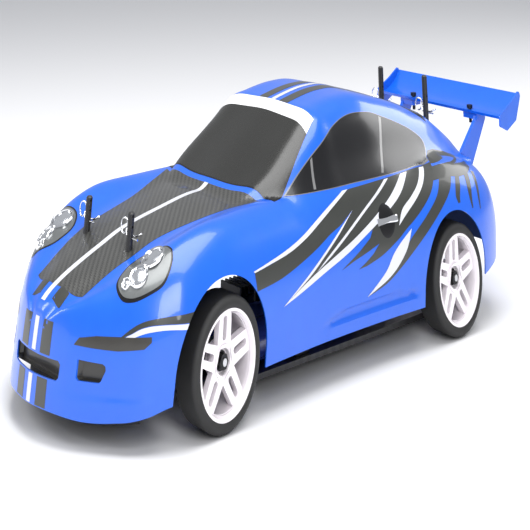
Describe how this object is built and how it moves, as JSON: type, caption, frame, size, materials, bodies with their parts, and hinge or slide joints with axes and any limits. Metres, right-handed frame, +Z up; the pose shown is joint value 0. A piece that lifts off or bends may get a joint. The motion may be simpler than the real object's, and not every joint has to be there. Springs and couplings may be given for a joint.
{
  "type": "remote control car",
  "caption": "Remote control touring car with a lift-off painted body shell and rear wing over a steerable, sprung, motor-driven chassis.",
  "frame": {"origin": "on the floor under the middle of the car, midway between the nose and the wing's rear edge", "axes": "+Z up, +Y towards the tail and -Y towards the nose, +X towards the car's left side"},
  "size_m": [0.1968, 0.4884, 0.1472],
  "materials": {
    "shell_paint": "glossy blue paint inside a clear shell",
    "wing_plastic": "glossy blue",
    "black_plastic": "moulded, slightly rough",
    "grey_plastic": "moulded",
    "white_plastic": "glossy white rims",
    "tyre_rubber": "smooth matt rubber",
    "spring_wire": "polished wire",
    "steel": "machined steel",
    "dark_steel": "black oxide screws and nuts",
    "aluminium": "machined",
    "motor_can": "plated can",
    "plate": "woven composite plate",
    "foam": "dense foam",
    "battery_wrap": "shrink wrap",
    "wire_red": "silicone wire",
    "nylon": "nylon gear"
  },
  "bodies": {
    "chassis": {"chassis_plate": "plate", "chassis_screws": "dark_steel", "front_bumper": "foam", "front_body_posts": "black_plastic", "rear_body_posts": "black_plastic", "front_arm_left": "black_plastic", "front_arm_right": "black_plastic", "kingpins": "steel", "front_spring_left": "spring_wire", "front_spring_right": "spring_wire", "steering_servo": "black_plastic", "damper_post": "black_plastic", "pod_pivot": "aluminium", "pod_pivot_pin": "steel", "battery_pack": "battery_wrap", "battery_strap": "black_plastic", "speed_controller": "grey_plastic", "radio_receiver": "grey_plastic", "battery_leads": "wire_red", "motor_leads": "wire_red", "damper_spring": "spring_wire"},
    "shell": {"body_shell": "shell_paint", "rear_wing": "wing_plastic", "wing_struts": "wing_plastic", "wing_screws": "dark_steel"},
    "clips": {"body_clips": "spring_wire"},
    "horn": {"servo_horn": "white_plastic"},
    "pod": {"pod_plate": "plate", "pod_top_plate": "plate", "pod_side_left": "aluminium", "pod_side_right": "aluminium", "rear_bearings": "steel", "t_plate": "grey_plastic", "motor": "motor_can"},
    "rear_axle": {"rear_axle": "steel", "rear_hubs": "aluminium", "rear_nuts": "dark_steel", "spur_gear": "nylon", "rim_rear_left": "white_plastic", "rim_rear_right": "white_plastic", "tyre_rear_left": "tyre_rubber", "tyre_rear_right": "tyre_rubber"},
    "motor_rotor": {"motor_shaft": "steel", "pinion_gear": "steel"},
    "damper_cylinder": {"damper_body": "aluminium"},
    "damper_piston": {"damper_rod": "steel"},
    "seat_left": {"spring_seat_left": "white_plastic"},
    "knuckle_left": {"steering_knuckle_left": "black_plastic", "front_axle_left": "steel", "front_nut_left": "dark_steel"},
    "front_wheel_left": {"rim_front_left": "white_plastic", "tyre_front_left": "tyre_rubber"},
    "tie_rod_left": {"tie_rod_left": "black_plastic"},
    "seat_right": {"spring_seat_right": "white_plastic"},
    "knuckle_right": {"steering_knuckle_right": "black_plastic", "front_axle_right": "steel", "front_nut_right": "dark_steel"},
    "front_wheel_right": {"rim_front_right": "white_plastic", "tyre_front_right": "tyre_rubber"},
    "tie_rod_right": {"tie_rod_right": "black_plastic"}
  },
  "joints": [
    {"name": "body_lift", "type": "slide", "parent": "chassis", "child": "shell", "axis": [0, 0, 1], "range_m": [0, 0.12], "deforming": ["body_clips"]},
    {"name": "clips_pull", "type": "slide", "parent": "shell", "child": "clips", "axis": [-1, 0, 0], "range_m": [0, 0.016]},
    {"name": "travel_left", "type": "slide", "parent": "chassis", "child": "seat_left", "axis": [0, 0, 1], "range_m": [-0.001, 0.004], "stiffness_N_per_m": 2400, "springref_m": -0.0017, "deforming": ["front_spring_left"]},
    {"name": "steer_left", "type": "hinge", "parent": "seat_left", "child": "knuckle_left", "pos_m": [0.062, -0.1401, 0.032], "axis": [0, 0, 1], "range_deg": [-20, 20]},
    {"name": "spin_front_left", "type": "hinge", "parent": "knuckle_left", "child": "front_wheel_left", "pos_m": [0.085, -0.1401, 0.032], "axis": [1, 0, 0], "continuous": true},
    {"name": "travel_right", "type": "slide", "parent": "chassis", "child": "seat_right", "axis": [0, 0, 1], "range_m": [-0.001, 0.004], "stiffness_N_per_m": 2400, "springref_m": -0.0017, "deforming": ["front_spring_right"]},
    {"name": "steer_right", "type": "hinge", "parent": "seat_right", "child": "knuckle_right", "pos_m": [-0.062, -0.1401, 0.032], "axis": [0, 0, 1], "range_deg": [-20, 20]},
    {"name": "spin_front_right", "type": "hinge", "parent": "knuckle_right", "child": "front_wheel_right", "pos_m": [-0.085, -0.1401, 0.032], "axis": [1, 0, 0], "continuous": true},
    {"name": "servo_turn", "type": "hinge", "parent": "chassis", "child": "horn", "pos_m": [0, -0.1401, 0.034], "axis": [0, 0, 1], "range_deg": [-20, 20]},
    {"name": "tie_rod_left_turn", "type": "hinge", "parent": "horn", "child": "tie_rod_left", "pos_m": [0.005, -0.1181, 0.03], "axis": [0, 0, 1], "range_deg": [-20, 20]},
    {"name": "tie_rod_right_turn", "type": "hinge", "parent": "horn", "child": "tie_rod_right", "pos_m": [-0.005, -0.1181, 0.03], "axis": [0, 0, 1], "range_deg": [-20, 20]},
    {"name": "pod_rock", "type": "hinge", "parent": "chassis", "child": "pod", "pos_m": [0, 0.0439, 0.013], "axis": [1, 0, 0], "range_deg": [-1.5, 5], "stiffness_Nm_per_rad": 14, "springref_deg": -3.44, "deforming": ["damper_spring", "motor_leads"]},
    {"name": "spin_rear", "type": "hinge", "parent": "pod", "child": "rear_axle", "pos_m": [0, 0.1199, 0.032], "axis": [1, 0, 0], "continuous": true},
    {"name": "motor_spin", "type": "hinge", "parent": "pod", "child": "motor_rotor", "pos_m": [-0.06, 0.09448, 0.03], "axis": [1, 0, 0], "continuous": true},
    {"name": "damper_swing", "type": "hinge", "parent": "chassis", "child": "damper_cylinder", "pos_m": [0, 0.0119, 0.056], "axis": [1, 0, 0], "range_deg": [-1.5, 4]},
    {"name": "damper_stroke", "type": "slide", "parent": "damper_cylinder", "child": "damper_piston", "axis": [0, 1, 0], "range_m": [-0.006, 0.002]}
  ],
  "couplings": [
    {"joint": "steer_right", "follows": "steer_left", "ratio": 1},
    {"joint": "servo_turn", "follows": "steer_left", "ratio": 1},
    {"joint": "tie_rod_left_turn", "follows": "steer_left", "ratio": -1},
    {"joint": "tie_rod_right_turn", "follows": "steer_left", "ratio": -1},
    {"joint": "motor_spin", "follows": "spin_rear", "ratio": -3.0476},
    {"joint": "damper_swing", "follows": "pod_rock", "ratio": 0.545},
    {"joint": "damper_stroke", "follows": "pod_rock", "m_per_rad": -0.0437}
  ]
}
